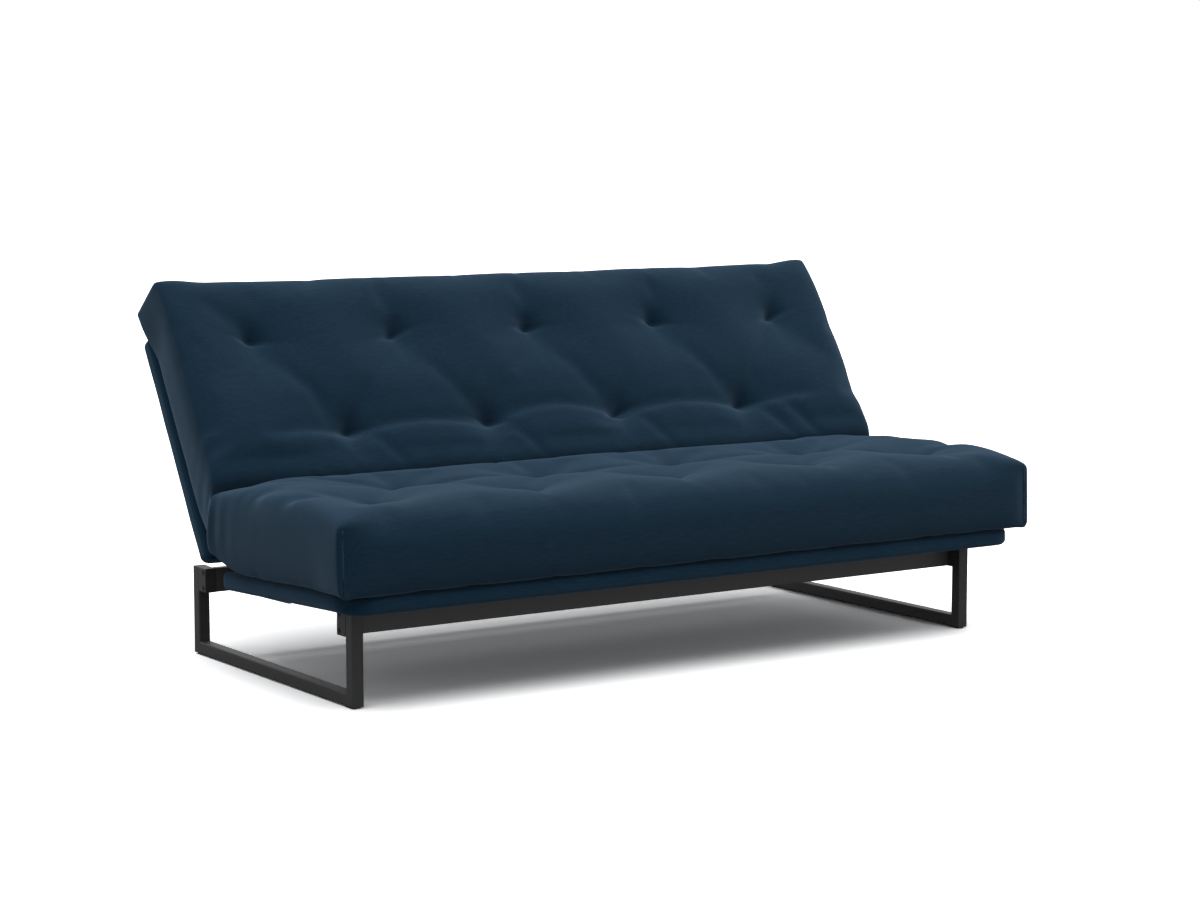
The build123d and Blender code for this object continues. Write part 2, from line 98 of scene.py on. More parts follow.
def add_node(tree: bpy.types.NodeTree, kind: str, values: dict[Any, Any] | None = None,
             links: dict[Any, bpy.types.NodeSocket] | None = None, **settings: Any) -> bpy.types.Node:
    """Add a node to a tree with its settings, input values and links.

    Args:
        tree: Node tree that gets the node.
        kind: Blender's identifier of the node.
        values: Input values by socket name or number.
        links: Sockets that feed the inputs, by socket name or number.
        **settings: Properties of the node itself.

    Returns:
        The new node.
    """
    node = tree.nodes.new(kind)
    for name, value in settings.items():
        setattr(node, name, value)
    for name, value in (values or {}).items():
        node.inputs[name].default_value = value
    for name, socket in (links or {}).items():
        tree.links.new(socket, node.inputs[name])
    return node


def new_material(name: str) -> tuple[bpy.types.Material, bpy.types.NodeTree, bpy.types.Node]:
    """Start a material.

    Args:
        name: Name of the real material.

    Returns:
        The material, its node tree and its main shader.
    """
    material = bpy.data.materials.new(name)
    material.use_nodes = True
    tree = material.node_tree
    return material, tree, tree.nodes["Principled BSDF"]


@dataclass(frozen=True)
class Grain:
    """Uneven tone and relief of a surface, both from one noise."""

    scale: Point3
    tones: tuple[tuple[float, str], tuple[float, str]]
    relief: float
    strength: float
    detail: float
    roughness: float = 0.5

    def apply(self, tree: bpy.types.NodeTree, shader: bpy.types.Node) -> None:
        """Colour a shader and give it its relief.

        Args:
            tree: Node tree of the material.
            shader: Main shader of the material.
        """
        place = add_node(tree, "ShaderNodeTexCoord")
        grid = add_node(tree, "ShaderNodeMapping", {"Scale": self.scale},
                        {"Vector": place.outputs["Object"]})
        grain = add_node(tree, "ShaderNodeTexNoise", {
            "Scale": 1.0, "Detail": self.detail, "Roughness": self.roughness,
        }, {"Vector": grid.outputs["Vector"]})
        tone = add_node(tree, "ShaderNodeValToRGB", None, {"Fac": grain.outputs["Fac"]})
        for stop, (position, colour) in zip(tone.color_ramp.elements, self.tones):
            stop.position = position
            stop.color = linear(colour)
        relief = add_node(tree, "ShaderNodeBump", {
            "Strength": self.strength, "Distance": self.relief,
        }, {"Height": grain.outputs["Fac"]})
        tree.links.new(tone.outputs["Color"], shader.inputs["Base Color"])
        tree.links.new(relief.outputs["Normal"], shader.inputs["Normal"])


@dataclass(frozen=True)
class WovenCloth:
    """Piece-dyed upholstery cloth with slubs along the weft, matt with a faint sheen."""

    name: str
    dark: str
    light: str
    rib_mm: float = 2.4
    slub_mm: float = 34.0
    roughness: float = 0.9
    relief_mm: float = 0.35
    sheen: float = 0.45
    sheen_tint: str = "#9bb9d6"

    def material(self) -> bpy.types.Material:
        """Build the cloth.

        Returns:
            Material whose ribs and slubs run along X.
        """
        material, tree, shader = new_material(self.name)
        # The real threads are under a millimetre apart; the ribs are drawn coarser so that they show.
        rib, slub = 1 / (self.rib_mm * MM), 1 / (self.slub_mm * MM)
        tones = ((0.3, self.dark), (0.72, self.light))
        Grain((slub, rib, rib), tones, self.relief_mm * MM, strength=0.5, detail=3.0,
              roughness=0.55).apply(tree, shader)
        shader.inputs["Roughness"].default_value = self.roughness
        shader.inputs["Specular IOR Level"].default_value = 0.05
        shader.inputs["Sheen Weight"].default_value = self.sheen
        shader.inputs["Sheen Roughness"].default_value = 0.5
        shader.inputs["Sheen Tint"].default_value = linear(self.sheen_tint)
        return material


@dataclass(frozen=True)
class GrainedFinish:
    """Hard or felted surface with one colour, a fine grain and a little relief."""

    name: str
    colour: str
    grain_colour: str
    roughness: float
    grain_mm: float
    metallic: float = 0.0
    relief_mm: float = 0.05
    stretch: Point3 = (1.0, 1.0, 1.0)

    def material(self) -> bpy.types.Material:
        """Build the finish.

        Returns:
            Material with a noise grain of the given size.
        """
        material, tree, shader = new_material(self.name)
        along_x, along_y, along_z = (part / (self.grain_mm * MM) for part in self.stretch)
        tones = ((0.35, self.colour), (0.7, self.grain_colour))
        Grain((along_x, along_y, along_z), tones, self.relief_mm * MM, strength=0.35,
              detail=2.0).apply(tree, shader)
        shader.inputs["Roughness"].default_value = self.roughness
        shader.inputs["Metallic"].default_value = self.metallic
        return material


class Finish(Enum):
    """Finishes of the sofa bed, by the record's material slots."""

    MATTRESS_FABRIC = "mattress_fabric"
    DECK_FABRIC = "deck_fabric"
    POWDER_COAT = "powder_coat"
    RAIL_COAT = "powder_coat.rails"
    MECHANISM_STEEL = "mechanism_steel"
    BLACK_FASTENER = "black_fastener"
    ZINC_STEEL = "zinc_steel"
    DUST_CLOTH = "dust_cloth"
    SLAT_WOOD = "slat_wood"
    GLIDE_PLASTIC = "glide_plastic"
    BLACK_NYLON = "black_nylon"

    @property
    def slot(self) -> str:
        """Slot of the record that the finish stands for."""
        return self.value.partition(".")[0]


RECIPES: dict[Finish, WovenCloth | GrainedFinish] = {
    # Navy cotton-mix cloth: matt, with short lighter and darker streaks along the weft.
    Finish.MATTRESS_FABRIC: WovenCloth("navy_slub_weave", "#152a3a", "#1a3445"),
    # The same cloth drawn tight over the deck edges, so its streaks are finer; its tones are painted lighter
    # than the mattress's, as painted light against the shade under the mattress's overhang.
    Finish.DECK_FABRIC: WovenCloth("navy_slub_weave_stretched", "#152d3e", "#1d3b50", rib_mm=2.2),
    # Baked polyester powder on steel: satin black with a slight orange peel.
    Finish.POWDER_COAT: GrainedFinish("black_powder_coat", "#353536", "#3a3a3b", 0.5, 1.6),
    # The same powder on the rails, painted a shade lighter as painted light, to make up for the shade that
    # the decks cast on them.
    Finish.RAIL_COAT: GrainedFinish("black_powder_coat_rails", "#4e4e4f", "#535354", 0.5, 1.6),
    # Painted strip steel of the fittings, a little glossier than the legs.
    Finish.MECHANISM_STEEL: GrainedFinish("black_painted_steel", "#202021", "#262627", 0.42, 2.0),
    # Black oxide on cold-headed screws: near black, with dull highlights; the heads are darkened further as
    # painted shade for the shade in their socket recesses.
    Finish.BLACK_FASTENER: GrainedFinish("black_oxide_steel", "#060607", "#0b0b0c", 0.7, 1.0),
    # Blue zinc plate on turned pins: bright, slightly cloudy metal.
    Finish.ZINC_STEEL: GrainedFinish("zinc_plated_steel", "#b4b8bc", "#c6c9cc", 0.32, 1.4, metallic=1.0),
    # Spun-bonded dust cloth: dead matt black with a felted grain.
    Finish.DUST_CLOTH: GrainedFinish("black_spunbond_cloth", "#141415", "#1d1d1f", 0.95, 1.2, relief_mm=0.2),
    # Laminated beech slats: pale wood with grain along the slat.
    Finish.SLAT_WOOD: GrainedFinish("laminated_beech", "#c9a678", "#dabb90", 0.5, 2.5, relief_mm=0.1,
                                    stretch=(1.0, 0.08, 0.08)),
    # Moulded polypropylene glides: dark grey, soft gloss.
    Finish.GLIDE_PLASTIC: GrainedFinish("moulded_polypropylene", "#1c1c1d", "#222223", 0.55, 0.8),
    # Moulded nylon bushes and pads: near black with a waxy gloss.
    Finish.BLACK_NYLON: GrainedFinish("moulded_nylon", "#18181a", "#1f1f21", 0.4, 0.8),
}


@dataclass
class Palette:
    """Materials of all finishes, made once."""

    made: dict[Finish, bpy.types.Material] = field(default_factory=dict)

    def __getitem__(self, finish: Finish) -> bpy.types.Material:
        """Give the material of a finish and make it on first use."""
        if finish not in self.made:
            self.made[finish] = RECIPES[finish].material()
        return self.made[finish]

    def dress(self, obj: bpy.types.Object, finish: Finish) -> None:
        """Give an object one finish.

        Args:
            obj: Piece to dress.
            finish: Finish that covers the piece.
        """
        obj.data.materials.clear()
        obj.data.materials.append(self[finish])
        finish.slot


def to_object(name: str, bm: bmesh.types.BMesh, smooth: bool = True) -> bpy.types.Object:
    """Turn a bmesh into a linked object at the origin.

    Args:
        name: Name of the piece.
        bm: Mesh data, freed afterwards.
        smooth: Whether its faces are shaded smooth.

    Returns:
        The new object.
    """
    mesh = bpy.data.meshes.new(name)
    for face in bm.faces:
        face.smooth = smooth
    bm.to_mesh(mesh)
    bm.free()
    obj = bpy.data.objects.new(name, mesh)
    bpy.context.scene.collection.objects.link(obj)
    return obj


def reach_of(edge: bmesh.types.BMEdge, axis: int) -> float:
    """Length of an edge along one axis."""
    return abs((edge.verts[0].co - edge.verts[1].co)[axis])


def gridded_block(cuts: tuple[int, int, int]) -> bmesh.types.BMesh:
    """Make a block from -1 to 1 whose faces are cut into a grid.

    Args:
        cuts: Number of cells along X, Y and Z.

    Returns:
        The block as a bmesh.
    """
    bm = bmesh.new()
    bmesh.ops.create_cube(bm, size=2.0)
    for axis, count in enumerate(cuts):
        lines = [edge for edge in bm.edges if reach_of(edge, axis) > TOUCH]
        bmesh.ops.subdivide_edges(bm, edges=lines, cuts=count - 1, use_grid_fill=True)
    return bm


def cord_along(name: str, way: list[Vector], radius: float, sides: int = 8) -> bpy.types.Object:
    """Draw a thin round seam along a way.

    Args:
        name: Name of the piece.
        way: Points along its middle.
        radius: Radius of the seam.
        sides: Number of its sides.

    Returns:
        The seam as an object.
    """
    bm = bmesh.new()
    course = [(b - a).normalized() for a, b in zip(way, way[1:])]
    course.append(course[-1])
    ring = bmesh.ops.create_circle(bm, cap_ends=True, segments=sides, radius=radius)["verts"]
    turn = Vector((0.0, 0.0, 1.0)).rotation_difference(course[0]).to_matrix().to_4x4()
    bmesh.ops.transform(bm, matrix=Matrix.Translation(way[0]) @ turn, verts=ring)
    face = bm.faces[:][0]
    for a, b, before, after in zip(way, way[1:], course, course[1:]):
        made = bmesh.ops.extrude_face_region(bm, geom=[face])["geom"]
        face = next(g for g in made if isinstance(g, bmesh.types.BMFace))
        turn = before.rotation_difference(after).to_matrix().to_4x4()
        step = Matrix.Translation(b) @ turn @ Matrix.Translation(-a)
        bmesh.ops.transform(bm, matrix=step, verts=face.verts[:])
    bmesh.ops.recalc_face_normals(bm, faces=bm.faces[:])
    return to_object(name, bm)


@dataclass(frozen=True)
class Swelling:
    """How a padded piece is blown up by its filling."""

    pressure: float = 2.4
    frames: int = 20
    cap: float = 24 * MM
    spare: float = 0.006
    tension: float = 22.0
    shear: float = 5.0
    bending: float = 2.5
    mass: float = 0.3
    quality: int = 5

    def cloth(self, obj: bpy.types.Object, held: dict[int, float]) -> bpy.types.Modifier:
        """Give a cover the cloth that the filling presses on.

        Args:
            obj: Closed mesh of the cover.
            held: How firmly each named vertex is held, from 0 to 1.

        Returns:
            The cloth modifier, not yet run.
        """
        group = obj.vertex_groups.new(name="held")
        for index, weight in held.items():
            group.add([index], weight, "REPLACE")
        cloth = obj.modifiers.new("filling", "CLOTH")
        rules = cloth.settings
        rules.quality = self.quality
        rules.mass = self.mass
        rules.tension_stiffness = rules.compression_stiffness = self.tension
        rules.shear_stiffness = self.shear
        rules.bending_stiffness = self.bending
        rules.use_pressure = True
        rules.uniform_pressure_force = self.pressure
        rules.shrink_min = -self.spare
        rules.vertex_group_mass = group.name
        rules.effector_weights.gravity = 0.0
        cloth.collision_settings.use_collision = False
        cloth.point_cache.frame_start = 1
        cloth.point_cache.frame_end = self.frames
        return cloth

    def apply(self, obj: bpy.types.Object, held: dict[int, float]) -> None:
        """Let the filling press the cover outwards while its sewn points stay put.

        Args:
            obj: Closed mesh of the cover.
            held: How firmly each named vertex is held, from 0 to 1.
        """
        start = [v.co.copy() for v in obj.data.vertices]
        cloth = self.cloth(obj, held)
        scene = bpy.context.scene
        for frame in range(1, self.frames + 1):
            scene.frame_set(frame)
        shape = obj.evaluated_get(bpy.context.evaluated_depsgraph_get()).to_mesh()
        moved = [v.co.copy() for v in shape.vertices]
        obj.modifiers.remove(cloth)
        obj.vertex_groups.clear()
        scene.frame_set(1)
        for vertex, was, now in zip(obj.data.vertices, start, moved):
            step = now - was
            if step.length > self.cap:
                step *= self.cap / step.length
            vertex.co = was + step
        obj.data.update()


def round_off(obj: bpy.types.Object, levels: int = 1) -> None:
    """Subdivide a soft piece and keep the result as its mesh.

    Args:
        obj: Piece to subdivide.
        levels: Number of subdivisions.
    """
    fine = obj.modifiers.new("rounding", "SUBSURF")
    fine.levels = fine.render_levels = levels
    mesh = bpy.data.meshes.new_from_object(obj.evaluated_get(bpy.context.evaluated_depsgraph_get()))
    obj.modifiers.remove(fine)
    old = obj.data
    obj.data = mesh
    mesh.name = obj.name
    bpy.data.meshes.remove(old)


def smooth_path(points: list[Point2], step: int = 24) -> list[Vector]:
    """Draw a smooth line through points in the YZ plane.

    Args:
        points: Points that the line passes.
        step: Number of pieces between two points.

    Returns:
        Points along the line.
    """
    line = []
    ends = [points[0], *points, points[-1]]
    for a, b, c, d in zip(ends, ends[1:], ends[2:], ends[3:]):
        for k in range(step):
            t = k / step
            line.append(Vector([
                0.5 * (2 * q + (r - p) * t + (2 * p - 5 * q + 4 * r - s) * t * t
                       + (3 * q - p - 3 * r + s) * t ** 3)
                for p, q, r, s in zip(a, b, c, d)
            ]))
    line.append(Vector(points[-1]))
    return line


def along(line: list[Vector], share: float) -> Vector:
    """Find the point at a share of a line's length.

    Args:
        line: Points along the line.
        share: Share of its length from 0 to 1.

    Returns:
        The point on the line.
    """
    steps = [(b - a).length for a, b in zip(line, line[1:])]
    left = max(0.0, min(1.0, share)) * sum(steps)
    for a, b, length in zip(line, line[1:], steps):
        if left <= length:
            return a.lerp(b, left / length if length else 0.0)
        left -= length
    return line[-1].copy()


def path_length(line: list[Vector]) -> float:
    """Length of a line through points."""
    return sum((b - a).length for a, b in zip(line, line[1:]))


def ease(share: float) -> float:
    """Smooth step from 0 to 1."""
    t = max(0.0, min(1.0, share))
    return t * t * (3 - 2 * t)


def bell(distance: float, width: float) -> float:
    """Bell curve that is 1 in its middle."""
    return math.exp(-(distance / width) ** 2)


def outermost(share: float) -> bool:
    """Whether a share of the block, up to 1 either way, is on its outer face."""
    return abs(share) > 0.999


class Half(IntEnum):
    """The two halves that fold about the hinge line, numbered as in fields with a value for each."""

    SEAT = 0
    BACK = 1

    @classmethod
    def at(cls, s: float) -> Half:
        """Half at a place between the front of the seat, -1, and the top of the back, 1."""
        return cls.BACK if s > 0 else cls.SEAT

    @property
    def body(self) -> str:
        """Body that carries the half."""
        return self.name.lower()

    @property
    def way(self) -> int:
        """Direction in which the half leaves the hinge line, along Y."""
        return 1 if self is Half.BACK else -1


@dataclass(frozen=True)
class Fold:
    """The hinge line and the two deck planes that fold about it, in the row frame."""

    hinge: Vector
    leans: Point2 = (math.radians(2.7), math.radians(58.7))

    def place(self, half: Half, u: float, v: float) -> Point2:
        """Place a point of one half in the YZ plane.

        Args:
            half: Half that the point is on.
            u: Distance from the hinge line along the deck.
            v: Height over the hinge line, square to the deck.

        Returns:
            Y and Z in the row frame.
        """
        c, s = math.cos(self.leans[half]), math.sin(self.leans[half])
        return (self.hinge.y + half.way * (u * c - v * s), self.hinge.z + u * s + v * c)

    def distance(self, half: Half, point: Vector) -> float:
        """Distance of a point from the hinge line, along the deck of its half."""
        arm = point.yz - self.hinge.yz
        return half.way * arm.x * math.cos(self.leans[half]) + arm.y * math.sin(self.leans[half])


@dataclass(frozen=True)
class FacePoint:
    """Point of the upper face: its half, its place along X and its distance from the hinge line."""

    half: Half
    x: float
    u: float


@dataclass(frozen=True)
class Tufting:
    """Where the cover is sewn through: four near and five far tufts on each half."""

    pitch: float = 0.4
    near_spots: tuple[float, ...] = (-0.6, -0.2, 0.2, 0.6)
    far_spots: tuple[float, ...] = (-0.8, -0.4, 0.0, 0.4, 0.8)
    rows: tuple[Point2, Point2] = ((268 * MM, 508 * MM), (290 * MM, 548 * MM))
    heights: Point2 = (214 * MM, 188 * MM)
    shifts: Point2 = (0.0, 8 * MM)
    depth: float = 30 * MM
    spread: float = 54 * MM
    hold: float = 9 * MM


@dataclass(frozen=True)
class Swag:
    """Fold of slack cloth that hangs between the near tufts, above the roll beside the crease."""

    tufting: Tufting
    rises: Point3 = (10 * MM, 30 * MM, 14 * MM)
    bend: float = 0.8
    end_rise: float = 10 * MM
    end_falls: Point2 = (44 * MM, 6 * MM)
    depth: float = 13 * MM
    slopes: Point2 = (15 * MM, 34 * MM)
    bow_depth: float = 4 * MM
    bow_height: float = 58 * MM
    bow_width: float = 20 * MM
    fade: float = 0.65
    fade_from: float = 0.75
    fade_over: float = 0.2

    def line(self, point: FacePoint) -> float:
        """Find the bottom of the fold beside a point.

        Args:
            point: Point of the upper face.

        Returns:
            Distance from the hinge line.
        """
        spots, near = self.tufting.near_spots, self.tufting.rows[point.half][0]
        bay = (point.x - spots[0]) / self.tufting.pitch
        if 0 <= bay < len(self.rises):
            return near + self.rises[int(bay)] * math.sin(math.pi * (bay % 1.0)) ** self.bend
        out = (abs(point.x) - spots[-1]) / self.tufting.pitch
        fall = self.end_falls[int(point.x >= 0)]
        return near + self.end_rise * math.sin(math.pi * min(1.0, out)) - fall * out * out

    def at(self, point: FacePoint) -> float:
        """Depth of the fold at a point, with a gentle slope above and a steep one at the roll.

        Args:
            point: Point of the upper face.

        Returns:
            Depth in metres.
        """
        above = point.u - self.line(point)
        fade = 1 - self.fade * ease((abs(point.x) - self.fade_from) / self.fade_over)
        return fade * (self.depth * bell(above, self.slopes[int(above > 0)])
                       + self.bow_depth * bell(above - self.bow_height, self.bow_width))


@dataclass(frozen=True)
class Slips:
    """Short slanting creases in the roll below each near tuft, and one more beside the last."""

    tufting: Tufting
    extra_spot: float = 0.68
    aside: float = 48 * MM
    slant: float = 0.75
    start: float = 30 * MM
    end: float = 125 * MM
    fade: float = 45 * MM
    depth: float = 7 * MM
    width: float = 14 * MM

    def at(self, point: FacePoint) -> float:
        """Depth of the creases at a point.

        Args:
            point: Point of the upper face.

        Returns:
            Depth in metres.
        """
        low = self.tufting.rows[point.half][0] - point.u
        spots = (*self.tufting.near_spots, self.extra_spot)
        offset = min(abs(point.x - spot - self.aside - self.slant * low) for spot in spots)
        reach = ease(low / self.start) * ease((self.end - low) / self.fade)
        return self.depth * reach * bell(offset, self.width)


@dataclass(frozen=True)
class Pulls:
    """Slack creases that run from each far tuft to the near ones."""

    tufting: Tufting
    depth: float = 4.5 * MM
    width: float = 46 * MM

    def at(self, point: FacePoint) -> float:
        """Depth of the creases at a point.

        Args:
            point: Point of the upper face.

        Returns:
            Depth in metres.
        """
        near, far = self.tufting.rows[point.half]
        share = (far - point.u) / (far - near)
        if not 0 <= share <= 1:
            return 0.0
        aside = self.tufting.pitch / 2 * share
        offset = min(abs(abs(point.x - spot) - aside) for spot in self.tufting.far_spots)
        return self.depth * bell(offset, self.width)


@dataclass(frozen=True)
class EndPleats:
    """Slack pleats at the ends of the seat, and the heap of cloth beside the crease."""

    first: float = 108 * MM
    pitch: float = 165 * MM
    depth: float = 8 * MM
    last: float = 500 * MM
    fade: float = 60 * MM
    start: float = 0.72
    over: float = 0.22
    heap: float = 17 * MM
    heap_middle: float = 118 * MM
    heap_width: float = 48 * MM
    heap_end: float = 0.99
    heap_fade: float = 0.14

    def at(self, point: FacePoint) -> float:
        """Depth of the pleats at a point.

        Args:
            point: Point of the upper face.

        Returns:
            Depth in metres, below zero on the heap.
        """
        wave = 0.5 + 0.5 * math.cos(math.tau * (point.u - self.first) / self.pitch)
        pleats = self.depth * wave ** 2 * ease((self.last - point.u) / self.fade)
        heap = self.heap * bell(point.u - self.heap_middle, self.heap_width)
        return (pleats * ease((abs(point.x) - self.start) / self.over)
                - heap * ease((self.heap_end - abs(point.x)) / self.heap_fade))


@dataclass(frozen=True)
class Pinch:
    """How the cover is drawn into a tuft: a soft slope above, a crisp lip below, pleats to both sides."""

    depth: float = 15 * MM
    width: float = 32 * MM
    slopes: Point2 = (34 * MM, 13 * MM)
    pleat_depth: float = 8 * MM
    pleat_length: float = 34 * MM
    pleat_drop: float = 3 * MM
    pleat_width: float = 8 * MM
    tilt: float = 0.25
    tilt_turn: float = 2.1
    side_reach: float = 0.13
    reach_squared: float = 0.025

    def at(self, wide: float, low: float) -> float:
        """Depth of the pinch at a point.

        Args:
            wide: Distance to the side of the tuft.
            low: Distance below the tuft, along the face.

        Returns:
            Depth in metres.
        """
        pleat = math.exp(-abs(wide) / self.pleat_length) * bell(low - self.pleat_drop, self.pleat_width)
        dimple = bell(wide, self.width) * bell(low, self.slopes[int(low > 0)])
        return self.depth * dimple + self.pleat_depth * pleat

    def apply(self, obj: bpy.types.Object, tuft: Vector, inward: Vector, number: int) -> None:
        """Draw the cover into one tuft.

        Args:
            obj: Swollen mattress.
            tuft: Sewn point.
            inward: Direction into the mattress.
            number: Number of the tuft, which turns its pleats a little.
        """
        down = inward.cross(Vector((1.0, 0.0, 0.0)))
        tilt = self.tilt * math.sin(self.tilt_turn * number)
        for vertex in obj.data.vertices:
            arm = vertex.co - tuft
            if abs(arm.x) <= self.side_reach and arm.length_squared <= self.reach_squared:
                vertex.co += inward * self.at(arm.x, arm.dot(down) - tilt * arm.x)


@dataclass(frozen=True)
class HalfShape:
    """How one half of the mattress is rounded at its open edge and drawn in at its ends."""

    edge_round: float
    end_drop: float
    corner_drop: float
    waist: float
    bulge: float


@dataclass(frozen=True)
class Cut:
    """Line through the mattress from its underside to its upper face, in the YZ plane."""

    low: Vector
    up: Vector
    out: Vector
    height: float
    run: float
    to_fold: float

    def top(self, x: float) -> Vector:
        """Point of the upper face at a place along the mattress."""
        return Vector((x, *(self.low + self.up * self.height)))


@dataclass(frozen=True)
class Spot:
    """Point of the block, with what its place on the mattress decides."""

    a: float
    s: float
    h: float
    half: Half
    cut: Cut
    form: HalfShape
    side: float
    height: float
    near_end: float
    near_edge: float

    @property
    def high(self) -> bool:
        """Whether the point belongs to the upper half of the height."""
        return self.h > 0.5

    @property
    def edge(self) -> float:
        """Distance from the nearer flat face."""
        return ((1 - self.h) if self.high else self.h) * self.height

    @property
    def at_front(self) -> bool:
        """Whether the point is on the boxing of an open edge."""
        return outermost(self.s) and self.edge >= TOUCH

    @property
    def at_end(self) -> bool:
        """Whether the point is on the boxing of an end."""
        return outermost(self.a) and self.edge >= TOUCH


@dataclass
class Mattress:
    """One tufted mattress that lies over both decks and folds between them."""

    fold: Fold
    palette: Palette
    # Block and its sections by halves, as distances from the hinge line and heights
    half_length: float = 1.0
    cells: tuple[int, int, int] = (160, 112, 12)
    crowding: float = 0.4
    forms: tuple[HalfShape, HalfShape] = (HalfShape(60 * MM, -8 * MM, 24 * MM, 8 * MM, 8 * MM),
                                          HalfShape(46 * MM, 1 * MM, 8 * MM, 24 * MM, 7 * MM))
    upper_mm: tuple[tuple[Point2, ...], tuple[Point2, ...]] = (
        ((703, 196), (600, 208), (470, 214), (300, 216), (170, 214), (112, 217)),
        ((731, 168), (630, 182), (480, 188), (320, 188), (235, 190), (192, 189), (166, 180)))
    lower_mm: tuple[tuple[Point2, ...], tuple[Point2, ...]] = (
        ((700, 18.6), (450, 18.6), (250, 18.6), (150, 22), (88, 36)),
        ((710, 18.6), (450, 18.6), (250, 18.6), (150, 22), (96, 36)))
    nook: Point2 = (40 * MM, 60 * MM)
    # Roundings, sag and boxing
    low_round: float = 26 * MM
    end_round: float = 30 * MM
    corner_round: float = 8 * MM
    spare_reach: float = 0.25
    boxing_spare: float = 0.4
    edge_share: float = 0.28
    end_reach: float = 0.14
    end_sag: float = 9 * MM
    front_sag: float = 12 * MM
    sag_reach: float = 0.05
    corner_lift: float = 9 * MM
    waist_from: float = 0.98
    waist_over: float = 0.15
    wrinkle_depth: float = 6 * MM
    wrinkle_pitch: float = 58 * MM
    wrinkle_reach: float = 85 * MM
    # Sewing and slack of the upper face
    uneven_depth: float = 3 * MM
    uneven_grid: Point3 = (4.0, 5.0, 5.0)
    seat_slack: float = 0.6
    tufting: Tufting = Tufting()
    end_pleats: EndPleats = EndPleats()
    pinch: Pinch = Pinch()
    # Fold and crease
    crease_angle: float = math.radians(71.0)
    crease_radius: float = 222 * MM
    crease_band: float = 30 * MM
    # Filling, and what holds the cover while it swells
    swelling: Swelling = Swelling()
    filling: float = 0.75
    crease_share: float = 0.035
    roll_share: float = 0.2
    roll_hold: float = 0.3
    nook_hold: float = 0.6
    boxing_hold: float = 0.3
    rest_inset: Point2 = (40 * MM, 60 * MM)
    calm_factor: float = 0.5
    calm_below: float = 0.9
    calm_rounds: int = 2
    boxing_rounds: int = 10
    # Corner seams
    seam_tuck: float = 10 * MM
    seam_fade: float = 0.12
    seam_radius: float = 2.2 * MM
    # Kept while the mattress is made
    cuts: dict[float, Cut] = field(default_factory=dict, init=False)
    corners: dict[Point2, list[tuple[float, int]]] = field(default_factory=dict, init=False)
    boxing: list[int] = field(default_factory=list, init=False)

    def __post_init__(self) -> None:
        """Draw the upper and lower lines of the middle section and set out the tufts."""
        crease, place = self.crease_angle, self.fold.place
        self.valley = place(Half.SEAT, self.crease_radius * math.cos(crease),
                            self.crease_radius * math.sin(crease))
        nook = place(Half.SEAT, *self.nook)
        self.upper = [self.section(half, self.upper_mm[half], self.valley) for half in Half]
        self.lower = [self.section(half, self.lower_mm[half], nook) for half in Half]
        self.lengths = [path_length(line) for line in self.upper]
        self.tufts = self.tuft_points()
        self.seam_line = 1 - 2 / self.cells[0]
        self.swag = Swag(self.tufting)
        self.slips = Slips(self.tufting)
        self.pulls = Pulls(self.tufting)

    def section(self, half: Half, points: tuple[Point2, ...], end: Point2) -> list[Vector]:
        """Draw a line of the middle section through points in millimetres to its end in the fold."""
        return smooth_path([*(self.fold.place(half, u * MM, v * MM) for u, v in points), end])

    def tuft_points(self) -> list[Vector]:
        """Find the sewn points on the upper face.

        Returns:
            Points in the row frame, four and five in a row on each half.
        """
        points = []
        sewn = self.tufting
        for half in Half:
            for u, spots in zip(sewn.rows[half], (sewn.near_spots, sewn.far_spots)):
                aim = Vector(self.fold.place(half, u, sewn.heights[half]))
                near = min(self.upper[half], key=lambda p: (p - aim).length)
                points += [Vector((x + sewn.shifts[half], near.x, near.y)) for x in spots]
        return points

    def cut(self, s: float) -> Cut:
        """Cut the mattress at one place between its front and its top.

        Args:
            s: -1 at the front of the seat, 0 in the fold, 1 at the top of the back.

        Returns:
            The line through the mattress there.
        """
        key = round(s, 6)
        if key not in self.cuts:
            half, t = Half.at(s), 1 - abs(s)
            share = (1 + self.crowding) * t - self.crowding * t * t
            top, low = along(self.upper[half], share), along(self.lower[half], share)
            up = (top - low).normalized()
            out = Vector((up.y, -up.x)) * half.way
            length = self.lengths[half]
            self.cuts[key] = Cut(low, up, out, (top - low).length, share * length, (1 - share) * length)
        return self.cuts[key]

    def spot(self, a: float, s: float, h: float) -> Spot:
        """Work out what the place of a point on the mattress decides.

        Args:
            a: -1 at the left end, 1 at the right end.
            s: -1 at the front of the seat, 0 in the fold, 1 at the top of the back.
            h: 0 on the underside, 1 on the upper face.

        Returns:
            The point with its cut, its height and how near it is to end and open edge.
        """
        cut, half, side = self.cut(s), Half.at(s), self.half_length * (1 - abs(a))
        form = self.forms[half]
        near_end = max(0.0, 1 - side / self.end_reach)
        near_edge = ease((abs(s) - (1 - self.edge_share)) / self.edge_share)
        height = cut.height - near_end ** 2 * (form.end_drop + form.corner_drop * near_edge)
        return Spot(a, s, h, half, cut, form, side, height, near_end, near_edge)

    def dent(self, half: Half, point: Vector) -> float:
        """Depth to which sewing and folds draw the upper face in at a point.

        Args:
            half: Half that the point is on.
            point: Point of the upper face.

        Returns:
            Depth in metres, a little of it uneven.
        """
        face = FacePoint(half, point.x, self.fold.distance(half, point))
        near = min((point - tuft).length for tuft in self.tufts)
        sewn = self.tufting.depth * math.exp(-near / self.tufting.spread)
        uneven = self.uneven_depth * noise.noise(Vector([p * g for p, g in zip(point, self.uneven_grid)]))
        slack = self.swag.at(face) + self.slips.at(face)
        if half is Half.SEAT:
            slack = self.seat_slack * slack + self.end_pleats.at(face)
        return sewn + slack + self.pulls.at(face) + uneven

